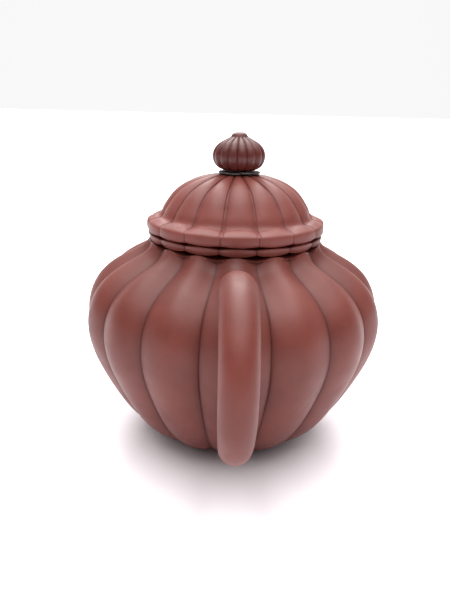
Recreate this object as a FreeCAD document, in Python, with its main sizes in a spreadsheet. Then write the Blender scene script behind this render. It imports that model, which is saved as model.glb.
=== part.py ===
import FreeCAD, Part
import math
import os
import sys

import Sketcher
from FreeCAD import Placement, Rotation, Vector

# A ribbed ("melon") yixing clay teapot, in millimetres. The origin is on the pot's axis at the
# table, +Z is up, the spout points along +X and the handle along -X. The pot, the lid and the knob
# share one plan: sixteen equal lobes that meet in sharp grooves. One lobe is centred on +X and one
# on -X. Each clay piece that the potter lutes on is an object of its own. The pot is made by hand:
# its knob stands a little to one side of the axis, with its lobes turned against the lid's.

LOBES = 16
HALF_LOBE = math.pi / LOBES

# Driving dimensions. Each becomes a cell of the sheet, with its name as the cell's alias.
SIZES = {
    "lobe_count": LOBES,
    "wall_groove_depth_ratio": 0.046,
    "lid_groove_depth_ratio": 0.035,
    "knob_groove_depth_ratio": 0.07,
    # Foot and bottom
    "table_height": 0.0,
    "foot_outer_radius": 22.5,
    "foot_sole_outer_radius": 21.9,
    "foot_sole_inner_radius": 19.4,
    "foot_inner_radius": 18.8,
    "foot_height": 1.6,
    "bottom_disc_radius": 20.5,
    "bottom_disc_thickness": 3.2,
    # Mouth and lid seat
    "seat_height": 71.8,
    "mouth_radius": 21.2,
    "lid_bore_radius": 18.0,
    "tenon_radius": 20.9,
    "tenon_lead_radius": 20.4,
    "tenon_lead_height": 65.3,
    "tenon_bottom_height": 64.4,
    # Lid top, knob and loose ring
    "lid_top_height": 90.3,
    "knob_aside": 0.85,
    "knob_turn": 7.75,
    "neck_radius": 3.9,
    "knob_bottom_height": 91.2,
    "vent_radius": 0.9,
    "bud_radius": 2.6,
    "bud_centre_height": 100.8,
    "bud_bottom_height": 101.9,
    "loose_ring_height": 90.4,
    "loose_ring_inner_radius": 4.6,
    "loose_ring_outer_radius": 6.8,
    "loose_ring_thickness": 0.6,
    "loose_ring_slit": 0.5,
    "loose_ring_slit_overrun": 1.0,
    # Handle: a round loop in the XZ plane
    "handle_centre_reach": 51.5,
    "handle_centre_height": 45.3,
    "handle_loop_radius": 20.7,
    "handle_thickness_radius": 4.8,
    # Pierced strainer behind the spout
    "strainer_height": 44.0,
    "strainer_radius": 7.5,
    "strainer_shell_inner_radius": 5.9,
    "strainer_seat_reach": 43.6,
    "strainer_collar_length": 2.8,
    "strainer_hole_radius": 0.9,
}

# Outlines as sections along the axis. Lobed sections give a height and the lobes' crest radius;
# plain round sections give a height and a radius.
WALL = [
    (1.6, 25.5), (5.0, 30.9), (10.0, 36.0), (18.0, 41.3), (28.0, 46.3), (36.0, 49.2),
    (43.0, 50.3), (50.0, 49.1), (56.3, 45.7), (61.3, 39.9), (65.0, 33.1), (67.2, 29.9), (69.0, 28.5),
]
CAVITY = [
    (4.8, 24.6), (9.0, 29.5), (17.0, 35.3), (28.0, 40.6), (36.0, 43.4),
    (43.0, 44.6), (50.0, 43.3), (56.0, 39.0), (61.0, 32.0), (65.0, 25.8), (69.0, 21.2),
]
RIM = [(69.0, 28.3), (69.8, 29.0), (71.2, 29.1), (71.8, 28.7)]
FLANGE = [(71.8, 28.6), (72.5, 29.4), (74.7, 29.5), (75.4, 28.9)]
DOME = [
    (75.4, 28.2), (76.9, 25.3), (78.7, 24.3), (81.0, 23.0), (83.8, 20.9), (86.8, 17.4),
    (89.1, 12.0), (90.3, 8.0),
]
DOME_HOLLOW = [(75.4, 18.0), (79.0, 18.0), (82.0, 16.6), (85.0, 13.2), (87.2, 7.0)]
KNOB = [
    (91.2, 5.0), (92.6, 6.9), (94.3, 8.1), (96.0, 8.5), (97.8, 8.2), (99.6, 7.0), (101.0, 5.0),
    (101.9, 3.1),
]
# Spout stations: reach along X, height, upward tilt of the axis, outer radius, channel radius.
SPOUT = [
    (40.0, 40.0, 15.0, 12.5, 9.5),
    (50.0, 43.3, 24.0, 10.6, 7.8),
    (60.0, 49.6, 39.0, 8.2, 5.6),
    (67.4, 58.6, 53.0, 6.5, 4.2),
    (72.4, 70.0, 62.0, 5.4, 3.8),
]
STRAINER_HOLE_RINGS = [(0.0, 1), (2.5, 6), (4.6, 12)]


def add_profile_sizes(prefix, rows, columns):
    """Give every value of an outline a name of its own, such as wall_3_crest."""
    for index, row in enumerate(rows, 1):
        for column, value in zip(columns, row):
            SIZES[f"{prefix}_{index}_{column}"] = value


LOBED_OUTLINES = {"wall": WALL, "rim": RIM, "flange": FLANGE, "dome": DOME, "knob": KNOB}
ROUND_OUTLINES = {"cavity": CAVITY, "hollow": DOME_HOLLOW}
for outline_name, outline in LOBED_OUTLINES.items():
    add_profile_sizes(outline_name, outline, ("height", "crest"))
for outline_name, outline in ROUND_OUTLINES.items():
    add_profile_sizes(outline_name, outline, ("height", "radius"))
add_profile_sizes("spout", SPOUT, ("reach", "height", "tilt", "radius", "channel"))


doc = FreeCAD.newDocument("yixing_teapot")
sheet = doc.addObject("Spreadsheet::Sheet", "Sizes")
for row, (alias, value) in enumerate(SIZES.items(), 1):
    sheet.set(f"A{row}", alias)
    sheet.set(f"B{row}", str(value))
    sheet.setAlias(f"B{row}", alias)
doc.recompute()


# ---- helpers ---------------------------------------------------------------------------------


def new_body(label):
    body = doc.addObject("PartDesign::Body", label)
    body.Label = label
    return body


def new_sketch(body, name, role="XY_Plane", height=None):
    """A sketch on one of the body's own origin planes, raised to a height of the sheet."""
    sketch = body.newObject("Sketcher::SketchObject", name)
    plane = next(f for f in body.Origin.OriginFeatures if f.Role == role)
    sketch.AttachmentSupport = [(plane, "")]
    sketch.MapMode = "FlatFace"
    if height:
        sketch.setExpression("AttachmentOffset.Base.z", f"Sizes.{height}")
    return sketch


def bind(sketch, kind, where, value, expression):
    """Add one dimension to a sketch and bind it to the sheet."""
    index = sketch.addConstraint(Sketcher.Constraint(kind, *where, value))
    sketch.setExpression(f"Constraints[{index}]", expression)


def add_circle(sketch, alias, centre=Vector(0, 0, 0)):
    """A circle of a radius of the sheet, centred on the origin unless told otherwise."""
    circle = sketch.addGeometry(Part.Circle(centre, Vector(0, 0, 1), SIZES[alias]), False)
    if centre.Length == 0:
        sketch.addConstraint(Sketcher.Constraint("Coincident", circle, 3, -1, 1))
    else:
        sketch.addConstraint(Sketcher.Constraint("DistanceX", -1, 1, circle, 3, centre.x))
        sketch.addConstraint(Sketcher.Constraint("DistanceY", -1, 1, circle, 3, centre.y))
    bind(sketch, "Radius", (circle,), SIZES[alias], f"Sizes.{alias}")
    return circle


def round_section(body, name, radius, height):
    sketch = new_sketch(body, name, height=height)
    add_circle(sketch, radius)
    return sketch


def lobed_section(body, name, crest, depth_ratio, height):
    """Sixteen equal arcs on a regular polygon: the plan that all the ribbed pieces share."""
    sketch = new_sketch(body, name, height=height)
    crest_radius = SIZES[crest]
    groove_radius = crest_radius * (1 - SIZES[depth_ratio])
    grooves = [
        Vector(groove_radius * math.cos(angle), groove_radius * math.sin(angle), 0)
        for angle in ((2 * k - 1) * HALF_LOBE for k in range(LOBES))
    ]
    crests = [
        Vector(crest_radius * math.cos(angle), crest_radius * math.sin(angle), 0)
        for angle in (2 * k * HALF_LOBE for k in range(LOBES))
    ]
    following = [(k + 1) % LOBES for k in range(LOBES)]
    arcs = [Part.Arc(grooves[k], crests[k], grooves[following[k]]) for k in range(LOBES)]
    chords = [Part.LineSegment(grooves[k], grooves[following[k]]) for k in range(LOBES)]
    first_arc = sketch.addGeometry(arcs, False)[0]
    first_chord = sketch.addGeometry(chords, True)[0]
    circle = sketch.addGeometry(Part.Circle(Vector(0, 0, 0), Vector(0, 0, 1), groove_radius), True)

    rules = [Sketcher.Constraint("Coincident", circle, 3, -1, 1)]
    for k in range(LOBES):
        arc = first_arc + k
        chord = first_chord + k
        rules.append(Sketcher.Constraint("Coincident", chord, 2, first_chord + following[k], 1))
        rules.append(Sketcher.Constraint("PointOnObject", chord, 1, circle))
        rules.append(Sketcher.Constraint("Coincident", arc, 1, chord, 1))
        rules.append(Sketcher.Constraint("Coincident", arc, 2, chord, 2))
        if k:
            rules.append(Sketcher.Constraint("Equal", first_chord, chord))
            rules.append(Sketcher.Constraint("Equal", first_arc, arc))
    rules.append(Sketcher.Constraint("Vertical", first_chord))
    sketch.addConstraint(rules)

    groove_text = f"Sizes.{crest} * (1 - Sizes.{depth_ratio})"
    half_chord = f"({groove_text} * sin(180 / Sizes.lobe_count))"
    rise = f"(Sizes.{crest} - {groove_text} * cos(180 / Sizes.lobe_count))"
    bind(sketch, "Radius", (circle,), groove_radius, groove_text)
    arc_radius = arcs[0].toShape().Curve.Radius
    bind(sketch, "Radius", (first_arc,), arc_radius, f"({half_chord}^2 + {rise}^2) / (2 * {rise})")
    return sketch


def add_loft(body, name, sections, ruled=False, cut=False):
    kind = "PartDesign::SubtractiveLoft" if cut else "PartDesign::AdditiveLoft"
    loft = body.newObject(kind, name)
    loft.Profile = sections[0]
    loft.Sections = [(section, "") for section in sections[1:]]
    loft.Ruled = ruled
    return loft


def lobed_loft(body, prefix, depth_ratio, ruled=False):
    sections = []
    for i in range(1, len(LOBED_OUTLINES[prefix]) + 1):
        name = f"{prefix}_section_{i}"
        crest = f"{prefix}_{i}_crest"
        sections.append(lobed_section(body, name, crest, depth_ratio, f"{prefix}_{i}_height"))
    return add_loft(body, f"{prefix}_loft", sections, ruled=ruled)


def round_loft(body, prefix, cut=False):
    sections = []
    for i in range(1, len(ROUND_OUTLINES[prefix]) + 1):
        name = f"{prefix}_section_{i}"
        sections.append(round_section(body, name, f"{prefix}_{i}_radius", f"{prefix}_{i}_height"))
    return add_loft(body, f"{prefix}_loft", sections, cut=cut)


def bore_through(body, name, radius, height):
    """A round hole along the body's own Z axis, right through it both ways."""
    sketch = new_sketch(body, f"{name}_sketch", height=height)
    add_circle(sketch, radius)
    pocket = body.newObject("PartDesign::Pocket", name)
    pocket.Profile = sketch
    pocket.Type = "ThroughAll"
    pocket.Midplane = True
    return pocket


def turned(body, name, corners):
    """A solid of revolution about Z from corners named by the sheet: (radius, height) pairs."""
    sketch = new_sketch(body, f"{name}_outline", role="XZ_Plane")
    points = [Vector(SIZES[radius], SIZES[height], 0) for radius, height in corners]
    count = len(points)
    for k in range(count):
        sketch.addGeometry(Part.LineSegment(points[k], points[(k + 1) % count]), False)
    for k in range(count):
        sketch.addConstraint(Sketcher.Constraint("Coincident", k, 2, (k + 1) % count, 1))
    for k, (radius, height) in enumerate(corners):
        bind(sketch, "DistanceX", (-1, 1, k, 1), SIZES[radius], f"Sizes.{radius}")
        if SIZES[height]:
            bind(sketch, "DistanceY", (-1, 1, k, 1), SIZES[height], f"Sizes.{height}")
        else:
            sketch.addConstraint(Sketcher.Constraint("PointOnObject", k, 1, -1))
    revolution = body.newObject("PartDesign::Revolution", name)
    revolution.Profile = sketch
    revolution.ReferenceAxis = (sketch, ["V_Axis"])
    revolution.Angle = 360
    return revolution


def new_cylinder(name, radius, length, base_z):
    """A cylinder on the Z axis; the three sizes are expressions."""
    cylinder = doc.addObject("Part::Cylinder", name)
    cylinder.setExpression("Radius", radius)
    cylinder.setExpression("Height", length)
    cylinder.setExpression("Placement.Base.z", base_z)
    return cylinder


def new_cut(label, base, tool):
    cut = doc.addObject("Part::Cut", label)
    cut.Label = label
    cut.Base = base
    cut.Tool = tool
    return cut


# ---- pot body --------------------------------------------------------------------------------

# The wall's outside as a filled form. The handle and the spout are trimmed to it as well.
wall_form = new_body("wall_form")
lobed_loft(wall_form, "wall", "wall_groove_depth_ratio")

cavity_form = new_body("cavity_form")
round_loft(cavity_form, "cavity")

bottom_hole = new_cylinder(
    "bottom_hole",
    "Sizes.bottom_disc_radius",
    "Sizes.bottom_disc_thickness",
    "Sizes.foot_height",
)

spout_hole = doc.addObject("Part::Cylinder", "spout_hole")
spout_hole.setExpression("Radius", "Sizes.strainer_radius")
spout_hole.setExpression("Height", "Sizes.wall_7_crest + Sizes.strainer_radius")
spout_hole.Placement = Placement(Vector(0, 0, 0), Rotation(Vector(0, 1, 0), 90))
spout_hole.setExpression("Placement.Base.z", "Sizes.strainer_height")

wall_hollows = doc.addObject("Part::MultiFuse", "wall_hollows")
wall_hollows.Shapes = [cavity_form, bottom_hole, spout_hole]
wall_shell = new_cut("wall_shell", wall_form, wall_hollows)

# The wall is in two halves, luted together along its widest line.
lower_half = new_cylinder(
    "lower_half",
    "2 * Sizes.wall_7_crest",
    "Sizes.wall_7_height - Sizes.table_height",
    "Sizes.table_height",
)
lower_wall = doc.addObject("Part::Common", "lower_wall")
lower_wall.Base = wall_shell
lower_wall.Tool = lower_half
upper_wall = new_cut("upper_wall", wall_shell, lower_half)

base_disc = new_cylinder(
    "base_disc",
    "Sizes.bottom_disc_radius",
    "Sizes.bottom_disc_thickness",
    "Sizes.foot_height",
)

foot_ring = new_body("foot_ring")
turned(
    foot_ring,
    "foot_turning",
    [
        ("foot_inner_radius", "foot_height"),
        ("foot_sole_inner_radius", "table_height"),
        ("foot_sole_outer_radius", "table_height"),
        ("foot_outer_radius", "foot_height"),
    ],
)

mouth_rim = new_body("mouth_rim")
lobed_loft(mouth_rim, "rim", "wall_groove_depth_ratio", ruled=True)
bore_through(mouth_rim, "mouth_bore", "mouth_radius", "seat_height")


# ---- handle ----------------------------------------------------------------------------------

handle_loop = doc.addObject("Part::Torus", "handle_loop")
handle_loop.setExpression("Radius1", "Sizes.handle_loop_radius")
handle_loop.setExpression("Radius2", "Sizes.handle_thickness_radius")
handle_loop.Placement = Placement(Vector(0, 0, 0), Rotation(Vector(1, 0, 0), 90))
handle_loop.setExpression("Placement.Base.x", "-Sizes.handle_centre_reach")
handle_loop.setExpression("Placement.Base.z", "Sizes.handle_centre_height")
handle = new_cut("handle", handle_loop, wall_form)


# ---- spout -----------------------------------------------------------------------------------


def spout_station(name, index, radius):
    """A circle across the spout's axis at one of its stations, tilted about the Y axis."""
    station = doc.addObject("Part::Circle", name)
    station.Placement = Placement(Vector(0, 0, 0), Rotation(Vector(0, 1, 0), 90))
    station.setExpression("Placement.Rotation.Angle", f"90 - Sizes.spout_{index}_tilt")
    station.setExpression("Placement.Base.x", f"Sizes.spout_{index}_reach")
    station.setExpression("Placement.Base.z", f"Sizes.spout_{index}_height")
    station.setExpression("Radius", f"Sizes.spout_{index}_{radius}")
    return station


def spout_loft(name, stations):
    loft = doc.addObject("Part::Loft", name)
    loft.Sections = stations
    loft.Solid = True
    return loft


station_numbers = range(1, len(SPOUT) + 1)
skin_stations = [spout_station(f"skin_station_{i}", i, "radius") for i in station_numbers]
channel_stations = [spout_station(f"channel_station_{i}", i, "channel") for i in station_numbers]
spout_skin = spout_loft("spout_skin", skin_stations)
spout_channel = spout_loft("spout_channel", channel_stations)
spout_outside = new_cut("spout_outside", spout_skin, wall_form)
spout = new_cut("spout", spout_outside, spout_channel)

# The strainer is modelled upright about Z: a collar above a dome that hangs below it.
strainer = new_body("spout_strainer")
shell = new_sketch(strainer, "strainer_outline", role="XZ_Plane")
outer = SIZES["strainer_radius"]
inner = SIZES["strainer_shell_inner_radius"]
collar = SIZES["strainer_collar_length"]
origin = Vector(0, 0, 0)
axis = Vector(0, 0, 1)
shell.addGeometry(
    [
        Part.LineSegment(Vector(inner, collar, 0), Vector(outer, collar, 0)),
        Part.LineSegment(Vector(outer, collar, 0), Vector(outer, 0, 0)),
        Part.ArcOfCircle(Part.Circle(origin, axis, outer), -math.pi / 2, 0),
        Part.LineSegment(Vector(0, -outer, 0), Vector(0, -inner, 0)),
        Part.ArcOfCircle(Part.Circle(origin, axis, inner), -math.pi / 2, 0),
        Part.LineSegment(Vector(inner, 0, 0), Vector(inner, collar, 0)),
    ],
    False,
)
shell.addConstraint(
    [
        Sketcher.Constraint("Coincident", 0, 2, 1, 1),
        Sketcher.Constraint("Coincident", 1, 2, 2, 2),
        Sketcher.Constraint("Coincident", 2, 1, 3, 1),
        Sketcher.Constraint("Coincident", 3, 2, 4, 1),
        Sketcher.Constraint("Coincident", 4, 2, 5, 1),
        Sketcher.Constraint("Coincident", 5, 2, 0, 1),
        Sketcher.Constraint("Coincident", 2, 3, -1, 1),
        Sketcher.Constraint("Coincident", 4, 3, -1, 1),
        Sketcher.Constraint("PointOnObject", 1, 2, -1),
        Sketcher.Constraint("PointOnObject", 4, 2, -1),
        Sketcher.Constraint("PointOnObject", 2, 1, -2),
        Sketcher.Constraint("PointOnObject", 4, 1, -2),
        Sketcher.Constraint("Vertical", 1),
        Sketcher.Constraint("Vertical", 5),
        Sketcher.Constraint("Horizontal", 0),
    ]
)
bind(shell, "Radius", (2,), outer, "Sizes.strainer_radius")
bind(shell, "Radius", (4,), inner, "Sizes.strainer_shell_inner_radius")
bind(shell, "DistanceY", (-1, 1, 0, 1), collar, "Sizes.strainer_collar_length")
strainer_turning = strainer.newObject("PartDesign::Revolution", "strainer_turning")
strainer_turning.Profile = shell
strainer_turning.ReferenceAxis = (shell, ["V_Axis"])
strainer_turning.Angle = 360

piercing = new_sketch(strainer, "strainer_piercing")
for ring_radius, hole_count in STRAINER_HOLE_RINGS:
    for k in range(hole_count):
        angle = 2 * math.pi * k / hole_count
        centre = Vector(ring_radius * math.cos(angle), ring_radius * math.sin(angle), 0)
        add_circle(piercing, "strainer_hole_radius", centre)
strainer_holes = strainer.newObject("PartDesign::Pocket", "strainer_holes")
strainer_holes.Profile = piercing
strainer_holes.Type = "ThroughAll"
strainer_holes.Midplane = True
strainer.Placement = Placement(Vector(0, 0, 0), Rotation(Vector(0, 1, 0), 90))
strainer.setExpression("Placement.Base.x", "Sizes.strainer_seat_reach")
strainer.setExpression("Placement.Base.z", "Sizes.strainer_height")


# ---- lid -------------------------------------------------------------------------------------

lid_tenon = new_body("lid_tenon")
turned(
    lid_tenon,
    "tenon_turning",
    [
        ("lid_bore_radius", "seat_height"),
        ("lid_bore_radius", "tenon_bottom_height"),
        ("tenon_lead_radius", "tenon_bottom_height"),
        ("tenon_radius", "tenon_lead_height"),
        ("tenon_radius", "seat_height"),
    ],
)

lid_flange = new_body("lid_flange")
lobed_loft(lid_flange, "flange", "lid_groove_depth_ratio", ruled=True)
bore_through(lid_flange, "lid_bore", "lid_bore_radius", "seat_height")

lid_dome = new_body("lid_dome")
lobed_loft(lid_dome, "dome", "lid_groove_depth_ratio")
round_loft(lid_dome, "hollow", cut=True)
dome_vent = bore_through(lid_dome, "dome_vent", "vent_radius", "lid_top_height")
dome_vent.Profile[0].setExpression("AttachmentOffset.Base.y", "-Sizes.knob_aside")


# ---- knob and loose ring ---------------------------------------------------------------------


def set_aside(*items):
    """Move the pieces of the knob to its own axis."""
    for item in items:
        item.setExpression("Placement.Base.y", "-Sizes.knob_aside")


knob = new_body("knob")
lobed_loft(knob, "knob", "knob_groove_depth_ratio")
bore_through(knob, "knob_vent", "vent_radius", "knob_bottom_height")
knob.Placement = Placement(Vector(0, 0, 0), Rotation(Vector(0, 0, 1), SIZES["knob_turn"]))
knob.setExpression("Placement.Rotation.Angle", "Sizes.knob_turn")

vent = new_cylinder(
    "vent",
    "Sizes.vent_radius",
    "Sizes.bud_centre_height + 2 * Sizes.bud_radius - Sizes.lid_top_height",
    "Sizes.lid_top_height",
)
neck_form = new_cylinder(
    "neck_form",
    "Sizes.neck_radius",
    "Sizes.knob_bottom_height - Sizes.lid_top_height",
    "Sizes.lid_top_height",
)
knob_neck = new_cut("knob_neck", neck_form, vent)

bud_form = doc.addObject("Part::Sphere", "bud_form")
bud_form.setExpression("Radius", "Sizes.bud_radius")
bud_form.setExpression("Placement.Base.z", "Sizes.bud_centre_height")
bud_form.setExpression(
    "Angle1",
    "asin((Sizes.bud_bottom_height - Sizes.bud_centre_height) / Sizes.bud_radius)",
)
knob_bud = new_cut("knob_bud", bud_form, vent)

# The loose ring lies on the lid round the knob's neck. Its slit faces the handle.
knob_ring = new_body("knob_ring")
washer = new_sketch(knob_ring, "washer", height="loose_ring_height")
add_circle(washer, "loose_ring_outer_radius")
add_circle(washer, "loose_ring_inner_radius")
washer_pad = knob_ring.newObject("PartDesign::Pad", "washer_pad")
washer_pad.Profile = washer
washer_pad.setExpression("Length", "Sizes.loose_ring_thickness")

slit = new_sketch(knob_ring, "slit", height="loose_ring_height")
slit_end = -SIZES["loose_ring_outer_radius"] - SIZES["loose_ring_slit_overrun"]
half_slit = SIZES["loose_ring_slit"] / 2
slit_corners = [
    Vector(slit_end, half_slit, 0),
    Vector(slit_end, -half_slit, 0),
    Vector(0, -half_slit, 0),
    Vector(0, half_slit, 0),
]
for k in range(4):
    slit.addGeometry(Part.LineSegment(slit_corners[k], slit_corners[(k + 1) % 4]), False)
for k in range(4):
    slit.addConstraint(Sketcher.Constraint("Coincident", k, 2, (k + 1) % 4, 1))
slit.addConstraint(
    [
        Sketcher.Constraint("Vertical", 0),
        Sketcher.Constraint("Horizontal", 1),
        Sketcher.Constraint("Horizontal", 3),
        Sketcher.Constraint("Symmetric", 2, 1, 2, 2, -1),
        Sketcher.Constraint("PointOnObject", 2, 1, -2),
    ]
)
slit_reach = "Sizes.loose_ring_outer_radius + Sizes.loose_ring_slit_overrun"
bind(slit, "DistanceX", (0, 1, -1, 1), -slit_end, slit_reach)
bind(slit, "DistanceY", (0, 2, 0, 1), 2 * half_slit, "Sizes.loose_ring_slit")
slit_pocket = knob_ring.newObject("PartDesign::Pocket", "slit_pocket")
slit_pocket.Profile = slit
slit_pocket.Type = "ThroughAll"
slit_pocket.Midplane = True

set_aside(knob, vent, neck_form, bud_form, knob_ring)


# ---- checks and files ------------------------------------------------------------------------

doc.recompute()

faults = [
    f"{item.Label}: {', '.join(item.State)}"
    for item in doc.Objects
    if {"Invalid", "Error"} & set(item.State)
]
SUBPARTS = [
    lower_wall, upper_wall, base_disc, foot_ring, mouth_rim, handle, spout, strainer,
    lid_tenon, lid_flange, lid_dome, knob_neck, knob, knob_bud, knob_ring,
]
for piece in SUBPARTS:
    shape = piece.Shape
    if shape.isNull() or not shape.isValid() or len(shape.Solids) != 1 or shape.Volume <= 0:
        faults.append(f"{piece.Label}: null, invalid or not one solid")
if faults:
    print("\n".join(faults))
    sys.exit(1)

os.makedirs("parts", exist_ok=True)
for piece in SUBPARTS:
    piece.Shape.exportStep(os.path.join("parts", f"{piece.Label}.step"))
    print(f"{piece.Label}: {piece.Shape.Volume:.1f} mm3")
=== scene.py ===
import math

import bpy
import numpy as np
from mathutils import Matrix, Vector


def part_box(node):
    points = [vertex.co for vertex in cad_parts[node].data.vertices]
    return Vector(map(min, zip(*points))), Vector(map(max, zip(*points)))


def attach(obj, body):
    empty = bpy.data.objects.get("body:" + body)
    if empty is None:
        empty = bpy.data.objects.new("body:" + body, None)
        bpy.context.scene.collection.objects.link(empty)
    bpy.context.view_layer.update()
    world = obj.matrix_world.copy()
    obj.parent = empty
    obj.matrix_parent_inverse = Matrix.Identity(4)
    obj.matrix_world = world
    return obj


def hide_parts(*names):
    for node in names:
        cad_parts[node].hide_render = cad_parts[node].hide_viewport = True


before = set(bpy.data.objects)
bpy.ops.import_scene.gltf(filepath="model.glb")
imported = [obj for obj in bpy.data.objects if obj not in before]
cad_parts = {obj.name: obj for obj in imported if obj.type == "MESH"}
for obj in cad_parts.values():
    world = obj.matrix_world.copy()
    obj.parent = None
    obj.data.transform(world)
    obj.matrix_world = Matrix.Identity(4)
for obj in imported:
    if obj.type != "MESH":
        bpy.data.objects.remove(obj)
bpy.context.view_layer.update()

# A ribbed ("melon") yixing clay teapot in fine unglazed red-brown clay. Outlines and sizes below
# are in millimetres in the frame's own axes: +Z up, the spout along +X, the handle along -X.
# Meshes are made in metres. An outline is drawn anticlockwise with the radius to the right and the
# height up. Its rows are (radius, height, lobe depth, line depth, fullness of the lobe, distance of
# the line from the groove, share of the lobe's depth that is a soft valley).

MM = 0.001
LOBES = 16
LOBE_ANGLE = 2 * math.pi / LOBES
WIDE_GROOVE = 7.5 * LOBE_ANGLE

# The burr beside a scored line, as a share of the line's depth.
BURR = 0.35

# Painted shade: how dark the clay is painted in a groove 2 mm or more in depth and in a scored line,
# and how narrow that painted shade is.
GROOVE_SHADE = 0.75
LINE_SHADE = 2.5
GROOVE_NARROWNESS = 9

# The belly is this much slimmer than the CAD's, so that its lean stays inside the CAD's box.
LEAN_ALLOWANCE = 0.12

# The gap left round the base disc, where it meets the wall.
CLEARANCE = 0.01


# ---- sizes read from the frame -----------------------------------------------------------------


def span(node):
    """A CAD node's lowest and highest corners, in millimetres."""
    low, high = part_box(node)
    return np.array(low) / MM, np.array(high) / MM


WALL_LOW = span("lower_wall")[0]
WALL_HIGH = span("upper_wall")[1]
RIM_HIGH = span("mouth_rim")[1]
FLANGE_LOW, FLANGE_HIGH = span("lid_flange")
TENON_LOW, TENON_HIGH = span("lid_tenon")
NECK_LOW, NECK_HIGH = span("knob_neck")
KNOB_LOW, KNOB_HIGH = span("knob")
BUD_LOW, BUD_HIGH = span("knob_bud")
LOOSE_LOW, LOOSE_HIGH = span("knob_ring")
HANDLE_LOW, HANDLE_HIGH = span("handle")
STRAINER_LOW, STRAINER_HIGH = span("spout_strainer")
FOOT_HIGH = span("foot_ring")[1]
DISC_LOW, DISC_HIGH = span("base_disc")

BELLY_RADIUS = WALL_HIGH[1] - LEAN_ALLOWANCE
NECK_Z = WALL_HIGH[2]
FOOT_Z = WALL_LOW[2]
RIM_RADIUS = RIM_HIGH[1]
SEAT_Z = RIM_HIGH[2]
FLANGE_Z = FLANGE_HIGH[2]
LID_TOP_Z = span("lid_dome")[1][2]

# Inner radii, which a node's box doesn't show.
MOUTH_RADIUS = 21.2
FOOT_BORE = 18.8
LID_BORE = 18.0
VENT_RADIUS = 0.9
BUD_BORE = 0.6
RING_BORE = 4.6


# ---- outlines ----------------------------------------------------------------------------------


def spline_through(points, count):
    """Points spread along a natural cubic spline through the given points."""
    points = np.array(points, float)
    steps = np.linalg.norm(np.diff(points[:, :2], axis=0), axis=1)
    knots = np.concatenate([[0.0], np.cumsum(steps)])
    gaps = np.diff(knots)
    size = len(points)
    matrix = np.eye(size)
    right = np.zeros_like(points)
    slopes = np.diff(points, axis=0) / gaps[:, None]
    for i in range(1, size - 1):
        matrix[i, i - 1] = gaps[i - 1]
        matrix[i, i] = 2 * (gaps[i - 1] + gaps[i])
        matrix[i, i + 1] = gaps[i]
        right[i] = 6 * (slopes[i] - slopes[i - 1])
    bend = np.linalg.solve(matrix, right)
    where = np.linspace(0, knots[-1], count)
    part = np.clip(np.searchsorted(knots, where) - 1, 0, size - 2)
    gap = gaps[part][:, None]
    before = (knots[part + 1] - where)[:, None]
    after = (where - knots[part])[:, None]
    curve = (bend[part] * before**3 + bend[part + 1] * after**3) / (6 * gap)
    curve += (points[part] / gap - bend[part] * gap / 6) * before
    curve += (points[part + 1] / gap - bend[part + 1] * gap / 6) * after
    return curve


def rounded(corners, steps=6, fullness=0.8):
    """A closed outline from corners (radius, height, rounding, lobe depth, line depth)."""
    out = []
    count = len(corners)
    for i, corner in enumerate(corners):
        here = np.array(corner[:2], float)
        size = corner[2]
        rest = [*corner[3:], *[0.0] * (5 - len(corner)), fullness, 0.0, 0.0]
        if size <= 0:
            out.append([*here, *rest])
            continue
        arms = []
        for other in (corners[i - 1], corners[(i + 1) % count]):
            arm = np.array(other[:2], float) - here
            length = np.linalg.norm(arm)
            arms.append(here + arm / length * min(size, 0.47 * length))
        for u in np.linspace(0, 1, steps + 1):
            point = (1 - u) ** 2 * arms[0] + 2 * u * (1 - u) * here + u**2 * arms[1]
            out.append([*point, *rest])
    return np.array(out, float)


def even(outline, pitch):
    """A closed outline with points added so that no step is longer than the pitch."""
    out = []
    for here, there in zip(outline, np.roll(outline, -1, axis=0)):
        pieces = max(1, math.ceil(np.linalg.norm((there - here)[:2]) / pitch))
        out += [here + (there - here) * k / pieces for k in range(pieces)]
    return np.array(out)


def rows(curve, lobe_depth=0.0, line_depth=0.0, fullness=0.8, line_place=0.0, valley=0.0):
    """Outline rows from a curve of (radius, height)."""
    curve = np.array(curve, float)
    every = np.ones(len(curve))
    extra = [every * value for value in (lobe_depth, line_depth, fullness, line_place, valley)]
    return np.column_stack([curve[:, :2], *extra])


# ---- meshes ------------------------------------------------------------------------------------


def columns(half_steps, spread=0.0):
    """Each column's angle about Z and its place in its lobe: -1 and 1 are the grooves and 0 is the
    crest. Columns are finer near the grooves. A spread, in degrees, makes the lobes at the handle
    and at the spout a little wider than those at the sides, most of all beside WIDE_GROOVE."""
    eased = 1 - (1 - np.arange(1, half_steps) / half_steps) ** 2
    places = np.concatenate([[-1.0], -eased[::-1], [0.0], eased])
    angles = np.array([(k + place / 2) * LOBE_ANGLE for k in range(LOBES) for place in places])
    apart = np.angle(np.exp(1j * (angles - WIDE_GROOVE))) / (0.7 * LOBE_ANGLE)
    moved = math.radians(spread) * (np.sin(2 * angles) - 0.75 * np.exp(-(apart**2)))
    return angles + moved, np.tile(places, LOBES)


def pillow(place, fullness):
    """How far a round lobe has fallen, from 0 at its crest to 1 at its groove."""
    drop = 1 - np.sqrt(1 - (fullness * place) ** 2)
    return drop / (1 - np.sqrt(1 - fullness**2))


def hand_made(angles, heights, size):
    """A slow unevenness of the clay, never above 0, so that it only takes from the size."""
    a, h = angles[None, :], heights[:, None]
    wave = np.sin(2 * a + 0.7 + h * 0.05) + 0.7 * np.sin(5 * a + 2.1 - h * 0.11)
    wave += 0.6 * np.sin(9 * a - 1.3 + h * 0.17) + 0.4 * np.sin(13 * a + 4.0 + h * 0.31)
    return size * (wave / 2.7 - 1) / 2


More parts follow.
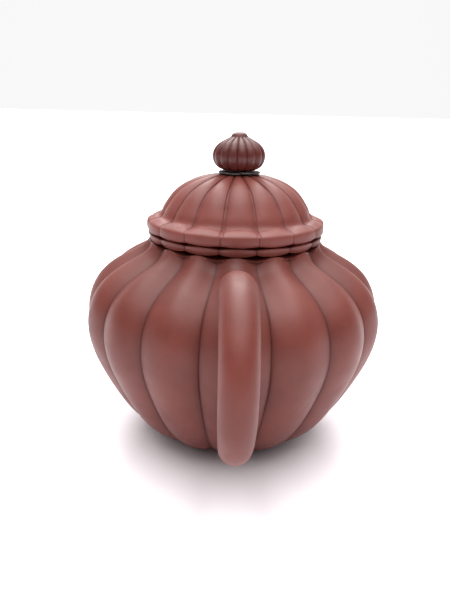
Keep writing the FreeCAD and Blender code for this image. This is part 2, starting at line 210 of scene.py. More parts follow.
def new_mesh(name, points, faces, groove=None):
    """A smooth mesh object from points in millimetres, each with a groove value for the clay:
    painted shade in grooves and scored lines, or a dark joint line.
    """
    mesh = bpy.data.meshes.new(name)
    mesh.from_pydata((np.asarray(points) * MM).tolist(), [], faces)
    mesh.polygons.foreach_set("use_smooth", [True] * len(mesh.polygons))
    values = np.zeros(len(points)) if groove is None else np.asarray(groove)
    attribute = mesh.attributes.new("groove", "FLOAT", "POINT")
    attribute.data.foreach_set("value", values.astype(np.float32))
    mesh.update()
    piece = bpy.data.objects.new(name, mesh)
    bpy.context.scene.collection.objects.link(piece)
    return piece


def grid_faces(row_count, column_count, closed):
    """Quads over rows of points that run all the way round; closed joins the last row to the
    first."""
    faces = []
    for i in range(row_count if closed else row_count - 1):
        here = i * column_count
        there = ((i + 1) % row_count) * column_count
        for j in range(column_count):
            k = (j + 1) % column_count
            faces.append((here + j, here + k, there + k, there + j))
    return faces


def outward_normals(outline, closed):
    """The outward direction at each point of an outline drawn anticlockwise."""
    points = outline[:, :2]
    if closed:
        along = np.roll(points, -1, axis=0) - np.roll(points, 1, axis=0)
    else:
        along = np.gradient(points, axis=0)
    normal = np.column_stack([along[:, 1], -along[:, 0]])
    return normal / np.maximum(np.linalg.norm(normal, axis=1), 1e-9)[:, None]


def turned(
    name, outline, closed=True, half_steps=16, line_width=0.2, uneven=0.0, spread=0.0, normals=None
):
    """A ribbed piece turned about Z. Each lobe sinks by its depth at its grooves, in a round curve
    that blends into a soft valley where the outline asks for one. A fine line with a slight burr
    beside it is scored along each groove, or one to either side of it."""
    if normals is None:
        normals = outward_normals(outline, closed)
    angles, places = columns(half_steps, spread)
    radius, depth, scored_depth = outline[:, :1], outline[:, 2:3], outline[:, 3:4]
    from_groove = (1 - np.abs(places))[None, :] * radius * LOBE_ANGLE / 2
    from_line = np.abs(from_groove - outline[:, 5:6]) / line_width
    scored = np.exp(-(from_line**2)) - BURR * np.exp(-((from_line - 2.0) ** 2))
    across = np.abs(places)[None, :]
    fallen = pillow(across, outline[:, 4:5])
    fallen = fallen + outline[:, 6:7] * ((1 - np.cos(math.pi * across)) / 2 - fallen)
    sink = depth * fallen + scored_depth * scored
    if uneven:
        sink = sink - hand_made(angles, outline[:, 1], uneven)
    around = radius - normals[:, :1] * sink
    height = outline[:, 1:2] - normals[:, 1:2] * sink
    points = np.stack([around * np.cos(angles), around * np.sin(angles), height], axis=2)
    points = points.reshape(-1, 3)
    # Painted shade: the clay's colour is darkened in deep grooves and in the scored lines, where
    # shade falls.
    painted_groove_shade = GROOVE_SHADE * np.clip(depth / 2.0, 0, 1) * across**GROOVE_NARROWNESS
    shade = np.clip(painted_groove_shade + LINE_SHADE * scored_depth * scored, 0, 1).reshape(-1)
    faces = grid_faces(len(outline), len(angles), closed)
    if not closed:
        faces.append(tuple(range(len(angles) - 1, -1, -1)))
        faces.append(tuple(range(len(points) - len(angles), len(points))))
    return new_mesh(name, points, faces, shade)


def tube_points(path, normals, radii, sides, squash=1.0):
    """Rings of points round a path in the XZ plane, each ring across its own normal."""
    turn = 2 * math.pi * np.arange(sides) / sides
    across = np.cos(turn)[None, :, None] * (radii * squash)[:, None, None] * normals[:, None, :]
    aside = np.sin(turn)[None, :, None] * radii[:, None, None] * np.array((0.0, 1.0, 0.0))
    return path[:, None, :] + across + aside


def path_normals(path):
    """In-plane normals of a path in the XZ plane."""
    along = np.gradient(path, axis=0)
    normal = np.column_stack([-along[:, 2], np.zeros(len(path)), along[:, 0]])
    return normal / np.linalg.norm(normal, axis=1)[:, None]


def capped_tube(name, rings, groove=None):
    """A closed tube from rings of points, with flat ends."""
    ring_count, sides = rings.shape[:2]
    faces = grid_faces(ring_count, sides, False)
    faces.append(tuple(range(sides - 1, -1, -1)))
    faces.append(tuple(range((ring_count - 1) * sides, ring_count * sides)))
    return new_mesh(name, rings.reshape(-1, 3), faces, groove)


def rod_x(name, radius, low_x, high_x, centre_y, centre_z, sides=40):
    """A cylinder along X, used to cut a hole."""
    ends = np.array([(high_x, centre_y, centre_z), (low_x, centre_y, centre_z)], float)
    normals = np.array([(0.0, 0.0, 1.0)] * 2)
    return capped_tube(name, tube_points(ends, normals, np.array([radius, radius]), sides))


def flip_if_inside_out(piece):
    """Turns the faces outward where a piece was built the other way round."""
    volume = 0.0
    mesh = piece.data
    for polygon in mesh.polygons:
        corner = mesh.vertices[polygon.vertices[0]].co
        volume += polygon.area * polygon.normal.dot(corner)
    if volume < 0:
        mesh.flip_normals()


def cut_out(piece, *cutters):
    """Takes each cutter's volume out of the piece, and removes the cutters."""
    flip_if_inside_out(piece)
    for cutter in cutters:
        flip_if_inside_out(cutter)
        modifier = piece.modifiers.new("cut", "BOOLEAN")
        modifier.operation = "DIFFERENCE"
        modifier.solver = "EXACT"
        modifier.object = cutter
    bpy.context.view_layer.update()
    graph = bpy.context.evaluated_depsgraph_get()
    result = bpy.data.meshes.new_from_object(piece.evaluated_get(graph), depsgraph=graph)
    piece.modifiers.clear()
    old = piece.data
    piece.data = result
    bpy.data.meshes.remove(old)
    result.name = piece.name
    for cutter in cutters:
        bpy.data.objects.remove(cutter)
    sharp_edges(piece)


def sharp_edges(piece, limit=40.0):
    """Smooth shading everywhere but across edges sharper than the limit, in degrees."""
    piece.data.polygons.foreach_set("use_smooth", [True] * len(piece.data.polygons))
    piece.data.set_sharp_from_angle(angle=math.radians(limit))


def settle(piece, turn):
    """The pot was made by hand, so it leans a little to one side, more so towards the knob, and the
    lid sits turned by a degree."""
    mesh = piece.data
    mesh.transform(Matrix.Rotation(math.radians(turn), 4, "Z"))
    points = np.empty(3 * len(mesh.vertices), np.float32)
    mesh.vertices.foreach_get("co", points)
    points = points.reshape(-1, 3)
    heights = [0, 45, 69, 76, 80, 90.25]
    aside = [0.0, 0.12, 0.3, 0.35, 0.45, 0.55]
    points[:, 1] -= np.interp(points[:, 2] / MM, heights, aside) * MM
    mesh.vertices.foreach_set("co", points.reshape(-1))
    mesh.update()


def place(piece, body, material, material_slot, *nodes):
    """Gives a piece its material and body, and puts it in the place of its CAD nodes."""
    flip_if_inside_out(piece)
    settle(piece, 1.0 if body == "lid" else 0.0)
    piece.data.materials.clear()
    piece.data.materials.append(material)
    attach(piece, body)
    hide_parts(*nodes)


# ---- materials ---------------------------------------------------------------------------------


def srgb(red, green, blue):
    """A colour given as 8-bit sRGB, in Blender's linear values."""
    channels = []
    for value in (red, green, blue):
        share = value / 255
        channels.append(share / 12.92 if share <= 0.04045 else ((share + 0.055) / 1.055) ** 2.4)
    return (*channels, 1.0)


class Surface:
    """A material's node tree, with the few kinds of node that the clay and the ring need."""

    def __init__(self, name):
        self.material = bpy.data.materials.new(name)
        self.material.use_nodes = True
        tree = self.material.node_tree
        self.nodes, self.links = tree.nodes, tree.links
        self.shader = self.nodes["Principled BSDF"]
        self.place = self.nodes.new("ShaderNodeTexCoord").outputs["Object"]

    def noise(self, scale, detail, roughness=0.5):
        node = self.nodes.new("ShaderNodeTexNoise")
        node.inputs["Scale"].default_value = scale
        node.inputs["Detail"].default_value = detail
        node.inputs["Roughness"].default_value = roughness
        self.links.new(self.place, node.inputs["Vector"])
        return node.outputs["Fac"]

    def cells(self, scale):
        node = self.nodes.new("ShaderNodeTexVoronoi")
        node.inputs["Scale"].default_value = scale
        self.links.new(self.place, node.inputs["Vector"])
        return node

    def remap(self, source, low, high, to_low, to_high):
        node = self.nodes.new("ShaderNodeMapRange")
        node.inputs["From Min"].default_value = low
        node.inputs["From Max"].default_value = high
        node.inputs["To Min"].default_value = to_low
        node.inputs["To Max"].default_value = to_high
        self.links.new(source, node.inputs["Value"])
        return node.outputs["Result"]

    def math(self, operation, first, second):
        node = self.nodes.new("ShaderNodeMath")
        node.operation = operation
        for value, socket in zip((first, second), node.inputs):
            if isinstance(value, float):
                socket.default_value = value
            else:
                self.links.new(value, socket)
        return node.outputs["Value"]

    def mix(self, factor, first, second):
        node = self.nodes.new("ShaderNodeMix")
        node.data_type = "RGBA"
        colour_inputs = [socket for socket in node.inputs if socket.type == "RGBA"]
        self.links.new(factor, node.inputs[0])
        for value, socket in zip((first, second), colour_inputs):
            if isinstance(value, tuple):
                socket.default_value = value
            else:
                self.links.new(value, socket)
        return next(socket for socket in node.outputs if socket.type == "RGBA")

    def attribute(self, name):
        node = self.nodes.new("ShaderNodeAttribute")
        node.attribute_name = name
        return node.outputs["Fac"]

    def bump(self, height, distance, strength, below=None):
        node = self.nodes.new("ShaderNodeBump")
        node.inputs["Strength"].default_value = strength
        node.inputs["Distance"].default_value = distance
        self.links.new(height, node.inputs["Height"])
        if below is not None:
            self.links.new(below, node.inputs["Normal"])
        return node.outputs["Normal"]

    def into(self, source, socket):
        self.links.new(source, self.shader.inputs[socket])


def clay(name, light, dark, painted_shade_and_joint_tone, roughness):
    """Fine unglazed clay: two close tones in soft clouds, painted shade darkening the grooves and
    scored lines, dark joint lines, sand specks, a few pinholes with painted shade in them, and the
    grain that the potter's tool leaves."""
    surface = Surface(name)
    surface.shader.inputs["IOR"].default_value = 1.38

    clouds = surface.noise(42.0, 5.0, 0.6)
    tone = surface.mix(surface.remap(clouds, 0.35, 0.65, 0.0, 1.0), dark, light)

    near_sand = surface.remap(surface.cells(1500.0).outputs["Distance"], 0.0, 0.32, 1.0, 0.0)
    sandy = surface.remap(surface.noise(600.0, 2.0), 0.56, 0.66, 0.0, 0.30)
    pale = tuple(min(1.0, channel * 1.7) for channel in light[:3]) + (1.0,)
    tone = surface.mix(surface.math("MULTIPLY", near_sand, sandy), tone, pale)

    # Pinholes: dented by a bump, and painted darker as the shade inside them.
    pits = surface.cells(230.0)
    near_pit = surface.remap(pits.outputs["Distance"], 0.025, 0.06, 1.0, 0.0)
    chosen = surface.remap(pits.outputs["Color"], 0.70, 0.72, 0.0, 1.0)
    pit = surface.math("MULTIPLY", near_pit, chosen)
    tone = surface.mix(surface.math("MULTIPLY", pit, 0.7), tone, painted_shade_and_joint_tone)

    # Painted shade in the grooves and scored lines, and the dark joint lines round the handle and
    # spout, all from the groove attribute.
    groove = surface.math("MULTIPLY", surface.attribute("groove"), 0.75)
    tone = surface.mix(groove, tone, painted_shade_and_joint_tone)
    surface.into(tone, "Base Color")

    worn = surface.remap(surface.noise(150.0, 4.0), 0.3, 0.7, roughness - 0.05, roughness + 0.06)
    surface.into(worn, "Roughness")

    fine = surface.bump(surface.noise(2600.0, 3.0, 0.65), 0.00006, 0.22)
    hand = surface.bump(surface.noise(260.0, 2.0), 0.00012, 0.25, fine)
    holes = surface.bump(surface.math("MULTIPLY", pit, -1.0), 0.00015, 0.6, hand)
    surface.into(holes, "Normal")
    return surface.material


def dark_rubber(name):
    """A matte, nearly black rubber with a little dust on it."""
    surface = Surface(name)
    dust = surface.noise(700.0, 4.0)
    dusty = surface.remap(dust, 0.4, 0.75, 0.0, 1.0)
    surface.into(surface.mix(dusty, srgb(44, 41, 39), srgb(88, 83, 79)), "Base Color")
    surface.into(surface.remap(dust, 0.0, 1.0, 0.42, 0.62), "Roughness")
    surface.into(surface.bump(dust, 0.00003, 0.3), "Normal")
    return surface.material


POT_CLAY = clay("pot_clay", srgb(108, 52, 44), srgb(94, 43, 36), srgb(58, 24, 20), roughness=0.47)
LID_CLAY = clay("lid_clay", srgb(115, 57, 50), srgb(102, 49, 42), srgb(72, 31, 27), roughness=0.46)
KNOB_CLAY = clay("knob_clay", srgb(88, 38, 32), srgb(72, 29, 25), srgb(28, 11, 10), roughness=0.38)
RING_RUBBER = dark_rubber("dark_ring")


# ---- pot ---------------------------------------------------------------------------------------

BELLY_CURVE = [
    (24.6, FOOT_Z), (27.4, 2.6), (30.9, 5.0), (36.0, 10.0), (41.3, 18.0), (46.3, 28.0),
    (49.2, 36.0), (BELLY_RADIUS, 43.0), (49.1, 50.0), (45.7, 56.3), (39.9, 61.3), (33.1, 65.0),
    (29.9, 67.2), (28.6, NECK_Z),
]
CAVITY_CURVE = [
    (MOUTH_RADIUS, NECK_Z), (25.6, 65.0), (32.0, 61.0), (39.0, 56.0), (43.3, 50.0),
    (44.6, 43.0), (43.4, 36.0), (40.6, 28.0), (35.3, 17.0), (29.5, 9.0), (24.6, DISC_HIGH[2]),
]
BELLY_SPREAD = 1.2
STRAINER_Z = (STRAINER_LOW[2] + STRAINER_HIGH[2]) / 2
STRAINER_RADIUS = (STRAINER_HIGH[2] - STRAINER_LOW[2]) / 2

# How far along X the hole through the wall is cut, for the strainer to stand in.
WALL_HOLE_START, WALL_HOLE_END = 36.0, 60.0


def belly_outside(count=118):
    """The lobed outside of the wall, from the foot to the neck, where the lobes turn into a ring of
    narrow ridges."""
    curve = spline_through(BELLY_CURVE, count)
    height = curve[:, 1]
    depth = np.interp(height, [1.6, 10, 28, 43, 58, 66, 69], [1.2, 1.8, 2.2, 2.4, 2.6, 2.3, 1.3])
    fullness = np.interp(height, [1.6, 20, 50, 69], [0.90, 0.95, 0.95, 0.96])
    line = np.interp(height, [1.6, 40, 60, 69], [0.05, 0.06, 0.05, 0.03])
    valley = np.interp(height, [1.6, 30, 50, 60, 66], [0.1, 0.2, 0.35, 0.65, 0.9])
    return rows(curve, depth, line, fullness, valley=valley)


def belly_form():
    """The pot's outside as a filled form, to trim what is luted on to it."""
    return turned("form", belly_outside(90), closed=False, half_steps=8, spread=BELLY_SPREAD)


def make_belly():
    """The hollow wall in one piece, for both of its luted halves."""
    floor = [(DISC_HIGH[1], DISC_HIGH[2]), (DISC_HIGH[1], DISC_LOW[2])]
    outline = np.vstack([belly_outside(), rows(spline_through(CAVITY_CURVE, 52)), rows(floor)])
    wall = turned("belly_wall", outline, uneven=0.10, spread=BELLY_SPREAD)
    hole = rod_x("hole", STRAINER_RADIUS, WALL_HOLE_START, WALL_HOLE_END, 0.0, STRAINER_Z)
    cut_out(wall, hole)
    place(wall, "pot", POT_CLAY, "pot_clay", "lower_wall", "upper_wall")


def make_base_disc():
    """The flat slab that closes the bottom."""
    low, high, radius = DISC_LOW[2], DISC_HIGH[2], DISC_HIGH[1] - CLEARANCE
    centre = 1.0
    outline = [(centre, low), (radius, low), (radius, high), (centre, high)]
    disc = turned("base_disc", rows(outline), closed=False, half_steps=4)
    sharp_edges(disc)
    place(disc, "pot", POT_CLAY, "pot_clay", "base_disc")


def make_foot():
    """The low ring that the pot stands on, with softened edges at the table."""
    radius, top = FOOT_HIGH[1], FOOT_HIGH[2]
    soft = 0.5
    outline = rounded([
        (FOOT_BORE, top, 0), (FOOT_BORE + soft, 0.0, soft), (radius - soft, 0.0, soft),
        (radius, top, 0),
    ])
    foot = turned("foot_ring", outline, half_steps=6)
    place(foot, "pot", POT_CLAY, "pot_clay", "foot_ring")


def make_rim():
    """The lobed ring round the mouth, with a flat seat for the lid."""
    outline = rounded([
        (MOUTH_RADIUS, NECK_Z, 0, 0, 0),
        (RIM_RADIUS - 0.8, NECK_Z, 0.4, 0.7, 0.08),
        (RIM_RADIUS, NECK_Z + 1.3, 1.0, 0.75, 0.1),
        (RIM_RADIUS + 0.05, SEAT_Z - 0.2, 0.4, 0.75, 0.1),
        (RIM_RADIUS - 0.9, SEAT_Z, 0.4, 0.6, 0),
        (MOUTH_RADIUS, SEAT_Z, 0.6, 0, 0),
    ], fullness=0.9)
    rim = turned("mouth_rim", even(outline, 0.5), uneven=0.1)
    place(rim, "pot", POT_CLAY, "pot_clay", "mouth_rim")


def gap_to_wall(points):
    """How far points stand out from the wall's crest outline, roughly, in millimetres."""
    outline = spline_through(BELLY_CURVE, 200)
    normals = outward_normals(outline, False)
    flat = np.column_stack([np.hypot(points[:, 0], points[:, 1]), points[:, 2]])
    apart = flat[:, None, :] - outline[None, :, :2]
    nearest = np.argmin(np.linalg.norm(apart, axis=2), axis=1)
    index = np.arange(len(points))
    return np.einsum("ij,ij->i", apart[index, nearest], normals[nearest])


def flared(rings, path, flare, reach):
    """Rings of a tube, spread where they come near the wall as clay is when it is luted on, and
    each point's share of the dark joint line."""
    flat = rings.reshape(-1, 3)
    gap = np.maximum(gap_to_wall(flat), 0.0)
    outward = (rings - path[:, None, :]).reshape(-1, 3)
    outward /= np.linalg.norm(outward, axis=1)[:, None]
    spread = flare * np.exp(-gap / reach)
    return (flat + outward * spread[:, None]).reshape(rings.shape), 0.6 * np.exp(-gap / 0.5)


HANDLE_ASIDE = 0.45
HANDLE_START, HANDLE_END = 36.0, 300.0

# The handle's radius at shares of the way from its upper joint to its lower one.
HANDLE_SHARES = [0, 0.1, 0.2, 0.35, 0.6, 0.8, 1]
HANDLE_RADII = [4.5, 5.1, 5.3, 5.05, 4.8, 4.3, 4.1]


def make_handle():
    """A round loop, a little thicker at the top, that runs into the wall at both ends. Its turn is
    measured from +X, in degrees."""
    outer = (HANDLE_HIGH[2] - HANDLE_LOW[2]) / 2
    centre_z = (HANDLE_HIGH[2] + HANDLE_LOW[2]) / 2
    centre_x = HANDLE_LOW[0] + outer
    turn = np.radians(np.linspace(HANDLE_START, HANDLE_END, 190))
    share = np.linspace(0, 1, len(turn))
    radii = np.interp(share, HANDLE_SHARES, HANDLE_RADII)
    loop = outer - radii
    centre = np.array((centre_x, HANDLE_ASIDE, centre_z))
    ray = np.column_stack([np.cos(turn), np.zeros(len(turn)), np.sin(turn)])
    path = centre + loop[:, None] * ray
    rings, joint = flared(tube_points(path, ray, radii, 56), path, flare=0.35, reach=0.8)
    handle = capped_tube("handle", rings, joint)
    cut_out(handle, belly_form())
    place(handle, "pot", POT_CLAY, "pot_clay", "handle")


# Stations along the spout: X, Z, outer radius and channel radius.
SPOUT_STATIONS = [
    (36.5, 38.6, 13.2, 9.9), (43.0, 40.8, 12.0, 9.0), (50.0, 43.6, 10.6, 7.8),
    (60.0, 49.8, 8.2, 5.6), (67.4, 58.6, 6.4, 4.2), (71.9, 69.0, 5.3, 3.8),
]
LIP_RINGS = 8
LIP_ROUNDING = 0.35


def make_spout():
    """A tapering spout that leans out and then turns up, open to the strainer."""
    stations = spline_through(SPOUT_STATIONS, 110)
    path = np.column_stack([stations[:, 0], np.zeros(len(stations)), stations[:, 1]])
    normals = path_normals(path)
    outer, channel = stations[:, 2].copy(), stations[:, 3].copy()
    lip = LIP_ROUNDING * (1 - np.sqrt(1 - 0.98 * np.linspace(0, 1, LIP_RINGS) ** 2))
    outer[-LIP_RINGS:] -= lip
    channel[-LIP_RINGS:] += lip
    outside, joint = flared(tube_points(path, normals, outer, 64), path, flare=1.2, reach=2.2)
    inside = tube_points(path, normals, channel, 64)[::-1]
    shade = np.concatenate([joint, np.zeros(inside.shape[0] * inside.shape[1])])
    loops = np.concatenate([outside, inside])
    spout = new_mesh(
        "spout", loops.reshape(-1, 3), grid_faces(len(loops), loops.shape[1], True), shade
    )
    cut_out(spout, belly_form())
    place(spout, "pot", POT_CLAY, "pot_clay", "spout")


STRAINER_DEPTH = 7.5
STRAINER_WALL = 1.6
STRAINER_BORE = 0.9
STRAINER_BORE_START, STRAINER_BORE_END = 30.0, 46.0

# The radius of each ring of holes, and how many holes it has.
STRAINER_RINGS = [(0.0, 1), (2.5, 6), (4.6, 12)]


def strainer_bores():
    """A cutter along X for each hole in the strainer."""
    bores = []
    span_x = (STRAINER_BORE_START, STRAINER_BORE_END)
    for ring_radius, count in STRAINER_RINGS:
        for k in range(count):
            angle = 2 * math.pi * (k + 0.5) / count
            across = ring_radius * math.cos(angle)
            height = STRAINER_Z + ring_radius * math.sin(angle)
            bores.append(rod_x("bore", STRAINER_BORE, *span_x, across, height, sides=20))
    return bores


def make_strainer():
    """The pierced clay dome behind the spout, turned about X and bored along X."""
    sides, soft = 72, 0.3
    outer, inner = STRAINER_RADIUS, STRAINER_RADIUS - STRAINER_WALL
    back, seat = STRAINER_HIGH[0], STRAINER_LOW[0] + STRAINER_DEPTH
    dome = np.radians(np.linspace(0, 90, 26))
    outside = np.column_stack([outer * np.sin(dome), seat - outer * np.cos(dome)])
    inside = np.column_stack([inner * np.sin(dome), seat - inner * np.cos(dome)])
    outside[0, 0] = inside[0, 0] = 0.02
    collar = [(outer, back - soft), (outer - soft, back), (inner + soft, back), (inner, back - soft)]
    outline = np.vstack([outside, collar, inside[::-1]])
    turn = 2 * math.pi * np.arange(sides) / sides
    points = np.stack([
        np.repeat(outline[:, 1:2], sides, axis=1),
        outline[:, :1] * np.cos(turn),
        STRAINER_Z + outline[:, :1] * np.sin(turn),
    ], axis=2)
    faces = grid_faces(len(outline), sides, True)
    strainer = new_mesh("spout_strainer", points.reshape(-1, 3), faces)
    cut_out(strainer, *strainer_bores())
    place(strainer, "pot", POT_CLAY, "pot_clay", "spout_strainer")


# ---- lid ---------------------------------------------------------------------------------------


def make_tenon():
    """The plain ring under the lid that drops into the mouth."""
    low, high, radius = TENON_LOW[2], TENON_HIGH[2], TENON_HIGH[1]
    outline = rounded([
        (LID_BORE, low, 0.6), (radius - 0.6, low, 0.5), (radius, low + 1.3, 1.0),
        (radius, high, 0), (LID_BORE, high, 0),
    ])
    tenon = turned("lid_tenon", even(outline, 1.0), half_steps=8)
    sharp_edges(tenon)
    place(tenon, "lid", LID_CLAY, "lid_clay", "lid_tenon")


# The lid's outside from the foot of its band to the knob's neck, in one flowing curve.
LID_CURVE = [
    (28.8, 71.95), (29.25, 72.3), (29.5, 73.0), (29.5, 74.5), (29.35, 75.15), (28.95, 75.55),
    (28.1, 76.0), (27.1, 76.45), (26.2, 76.72), (25.4, 76.95), (24.85, 77.55), (24.3, 78.8),
    (23.0, 81.1), (20.85, 84.0), (17.4, 86.8), (12.0, 89.1), (7.0, 90.0), (4.4, LID_TOP_Z),
]
BAND_TOP, SEAM_Z = 75.1, 77.0

# The band's flat sole ends at SOLE_RADIUS, and the dome rests on a level ledge inside the band.
SOLE_RADIUS = 27.0
LEDGE_RADIUS = 24.0
HOLLOW_TOP_Z = 87.2
DOME_HOLLOW = [
    (7.0, HOLLOW_TOP_Z), (13.2, 85.0), (16.6, 82.0), (LID_BORE, 79.0), (LID_BORE, FLANGE_Z),
]
LID_STEPS = 22
LID_LINE_WIDTH = 0.15


def lid_outside():
    """The lid's panels run on over its band. Each boundary is a fine bead between two scored
    lines, which spread towards the band."""
    curve = spline_through(LID_CURVE, 136)
    band = curve[:, 1] < BAND_TOP
    depth = np.interp(curve[:, 0], [4.4, 8, 13, 22, 25, 29], [0.1, 0.8, 1.3, 1.4, 0.95, 0.42])
    line = np.interp(curve[:, 0], [4.4, 7, 10, 26, 29], [0.0, 0.08, 0.13, 0.14, 0.16])
    apart = np.interp(curve[:, 0], [4.4, 10, 20, 25, 29], [0.05, 0.15, 0.30, 0.38, 0.55])
    outline = rows(curve, depth, np.where(band, 0.12, line), 0.84, np.where(band, 0.0, apart))
    return outline, outward_normals(outline, False)


def lid_part(name, outside, normals, inside):
    """A piece of the lid from its share of the outside and its own plain inside."""
    outline = np.vstack([outside, rows(inside)])
    every = outward_normals(outline, True)
    every[:len(outside)] = normals
    part = turned(
        name, outline, half_steps=LID_STEPS, line_width=LID_LINE_WIDTH, uneven=0.08, normals=every
    )
    sharp_edges(part, 60.0)
    place(part, "lid", LID_CLAY, "lid_clay", name)


def make_lid_plate():
    """The lid's band and its dome, which meet where the lid starts to rise."""
    outside, normals = lid_outside()
    seam = int(np.argmax(outside[:, 1] > SEAM_Z))
    tuck = (outside[seam, 0] - 0.6, outside[seam, 1] - 0.7)
    ledge = (LEDGE_RADIUS, FLANGE_Z)
    low = FLANGE_LOW[2]
    inside = [tuck, ledge, (LID_BORE, FLANGE_Z), (LID_BORE, low), (SOLE_RADIUS, low)]
    lid_part("lid_flange", outside[:seam + 1], normals[:seam + 1], inside)
    vent = [(VENT_RADIUS, LID_TOP_Z), (VENT_RADIUS, HOLLOW_TOP_Z)]
    inside = np.vstack([vent, spline_through(DOME_HOLLOW, 16), [ledge, tuck]])
    lid_part("lid_dome", outside[seam:], normals[seam:], inside)


KNOB_CURVE = [
    (4.5, 91.2), (6.8, 92.2), (8.3, 94.1), (8.6, 96.0), (8.1, 97.9), (6.6, 99.7), (4.6, 100.9),
    (3.0, 101.7), (2.6, 101.9),
]
KNOB_TURN = math.radians(4.5)
KNOB_ASIDE = Matrix.Translation((0, -0.35 * MM, 0))


def make_neck():
    """The short plain neck under the knob, bored by the vent."""
    radius = NECK_HIGH[0]
    outline = [
        (VENT_RADIUS, NECK_LOW[2]), (radius, NECK_LOW[2]), (radius, NECK_HIGH[2]),
        (VENT_RADIUS, NECK_HIGH[2]),
    ]
    neck = turned("knob_neck", even(rows(outline), 0.6), half_steps=5)
    sharp_edges(neck)
    neck.data.transform(KNOB_ASIDE)
    place(neck, "lid", KNOB_CLAY, "knob_clay", "knob_neck")


def make_knob():
    """The ribbed, flattened ball, bored by the vent."""
    curve = spline_through(KNOB_CURVE, 76)
    depth = np.interp(curve[:, 1], [91, 94, 98, 101, 102], [0.35, 0.7, 0.7, 0.4, 0.05])
    outside = rows(curve, depth, 0.0, 0.75)
    vent = [(VENT_RADIUS, KNOB_HIGH[2]), (VENT_RADIUS, KNOB_LOW[2])]
    knob = turned("knob", np.vstack([outside, rows(vent)]), half_steps=12, line_width=0.2)
    knob.data.transform(Matrix.Rotation(KNOB_TURN, 4, "Z"))
    knob.data.transform(KNOB_ASIDE)
    place(knob, "lid", KNOB_CLAY, "knob_clay", "knob")


def make_bud():
    """The small rounded bud on top of the knob, bored by the vent."""
    top, low = BUD_HIGH[2], BUD_LOW[2]
    curve = spline_through([
        (2.85, low - 0.1), (2.62, low + 0.2), (2.45, low + 0.5), (2.1, low + 0.85),
        (1.5, low + 1.18), (BUD_BORE + 0.2, top - 0.04), (BUD_BORE, top - 0.2),
    ], 30)
    bud = turned("knob_bud", np.vstack([rows(curve), rows([(BUD_BORE, low)])]), half_steps=4)
    bud.data.transform(KNOB_ASIDE)
    place(bud, "lid", KNOB_CLAY, "knob_clay", "knob_bud")


def make_loose_ring():
    """The thin split ring round the knob's neck. It lies off centre, and one of its ends is sprung
    up a little over the other."""
    inner, outer = RING_BORE, LOOSE_HIGH[0]
    above_lid, thickness, aside, slit = 0.02, 0.5, 0.65, 0.5
    low = LOOSE_LOW[2] + above_lid
    high = low + thickness
    half_slit = math.atan2(slit / 2, (inner + outer) / 2)
    turn = np.linspace(-math.pi + half_slit, math.pi - half_slit, 160)
    section = even(rounded([
        (inner, low, 0.1), (outer, low, 0.12), (outer, high, 0.12), (inner, high, 0.1),
    ], steps=4), 0.5)
    lift = 0.3 * np.clip((-turn - 1.4) / 1.7, 0, 1) ** 1.5
    points = np.array([
        [(r * math.cos(a), r * math.sin(a) - aside, z + up) for r, z in section[:, :2]]
        for a, up in zip(turn, lift)
    ])
    ring = capped_tube("knob_ring", points)
    sharp_edges(ring)
    place(ring, "knob_ring", RING_RUBBER, "dark_ring", "knob_ring")


# ---- studio ------------------------------------------------------------------------------------


# A little above the lid and 190 mm out on the handle's side.
CAMERA_PLACE = Vector((-188.67, 6.22, 110.2))

# How far the floor runs from the pot along X and along Y.
FLOOR_REACH = 12000.0


def make_camera():
    """The photograph's viewing angle: from the handle's side and a little above."""
    pitch, yaw, roll = math.radians(18.65), math.radians(-1.114), math.radians(1.358)
    forward = Vector((
        math.cos(pitch) * math.cos(yaw), math.cos(pitch) * math.sin(yaw), -math.sin(pitch)
    ))
    right = Vector((math.sin(yaw), -math.cos(yaw), 0.0))
    up = right.cross(forward)
    side = right * math.cos(roll) + up * math.sin(roll)
    top = up * math.cos(roll) - right * math.sin(roll)
    data = bpy.data.cameras.new("camera")
    data.lens, data.sensor_width = 34.03, 36.0
    data.clip_start = 0.01
    camera = bpy.data.objects.new("camera", data)
    turn = Matrix((side, top, -forward)).transposed().to_4x4()
    camera.matrix_world = Matrix.Translation(CAMERA_PLACE * MM) @ turn
    bpy.context.scene.collection.objects.link(camera)
    bpy.context.scene.camera = camera


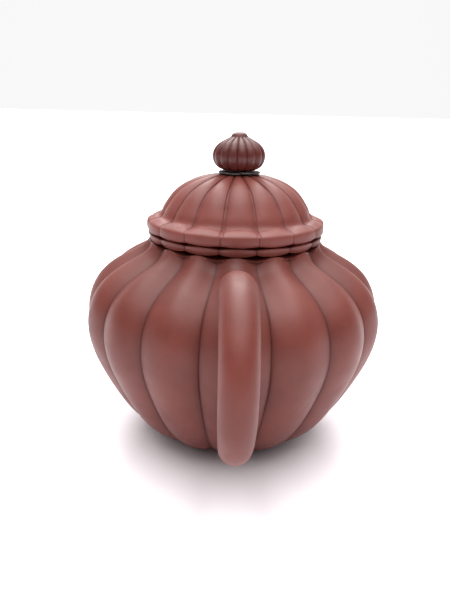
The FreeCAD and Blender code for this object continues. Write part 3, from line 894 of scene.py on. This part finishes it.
def make_floor():
    """A plain, nearly white floor of one tone."""
    surface = Surface("floor_white")
    surface.shader.inputs["Specular IOR Level"].default_value = 0.2
    surface.shader.inputs["Roughness"].default_value = 0.6
    surface.shader.inputs["Base Color"].default_value = (0.90, 0.86, 0.89, 1.0)
    reach = FLOOR_REACH
    corners = [(-reach, -reach, 0), (reach, -reach, 0), (reach, reach, 0), (-reach, reach, 0)]
    floor = new_mesh("floor", corners, [(0, 1, 2, 3)])
    floor.data.materials.append(surface.material)


def make_lights():
    """A soft lamp overhead and a weaker one high behind the pot, in a white room with a bright
    ceiling and a bright wall behind the pot. The room is dim behind the camera."""
    for name, tilt, energy, width in (("overhead", -4, 2.9, 62), ("behind", 46, 2.1, 40)):
        data = bpy.data.lights.new(name, "SUN")
        data.energy, data.angle = energy, math.radians(width)
        lamp = bpy.data.objects.new(name, data)
        lamp.rotation_euler = (0, math.radians(tilt), 0)
        bpy.context.scene.collection.objects.link(lamp)

    world = bpy.data.worlds.new("room")
    bpy.context.scene.world = world
    world.use_nodes = True
    nodes, links = world.node_tree.nodes, world.node_tree.links
    place_node = nodes.new("ShaderNodeTexCoord")
    split = nodes.new("ShaderNodeSeparateXYZ")
    links.new(place_node.outputs["Generated"], split.inputs["Vector"])
    shares = []
    for axis, start, end, low, high in (("X", 0.0, 1.0, 0.05, 0.9), ("Z", 0.35, 0.95, 0.05, 1.9)):
        ramp = nodes.new("ShaderNodeMapRange")
        ramp.interpolation_type = "SMOOTHSTEP"
        ends = {"From Min": start, "From Max": end, "To Min": low, "To Max": high}
        for socket, value in ends.items():
            ramp.inputs[socket].default_value = value
        links.new(split.outputs[axis], ramp.inputs["Value"])
        shares.append(ramp.outputs["Result"])
    both = nodes.new("ShaderNodeMath")
    both.operation = "ADD"
    for share, socket in zip(shares, both.inputs):
        links.new(share, socket)
    background = nodes["Background"]
    background.inputs["Color"].default_value = (1.0, 1.0, 1.0, 1.0)
    links.new(both.outputs["Value"], background.inputs["Strength"])
    bpy.context.scene.view_settings.view_transform = "Standard"


make_camera()
make_floor()
make_lights()
make_belly()
make_base_disc()
make_foot()
make_rim()
make_handle()
make_spout()
make_strainer()
make_tenon()
make_lid_plate()
make_neck()
make_knob()
make_bud()
make_loose_ring()
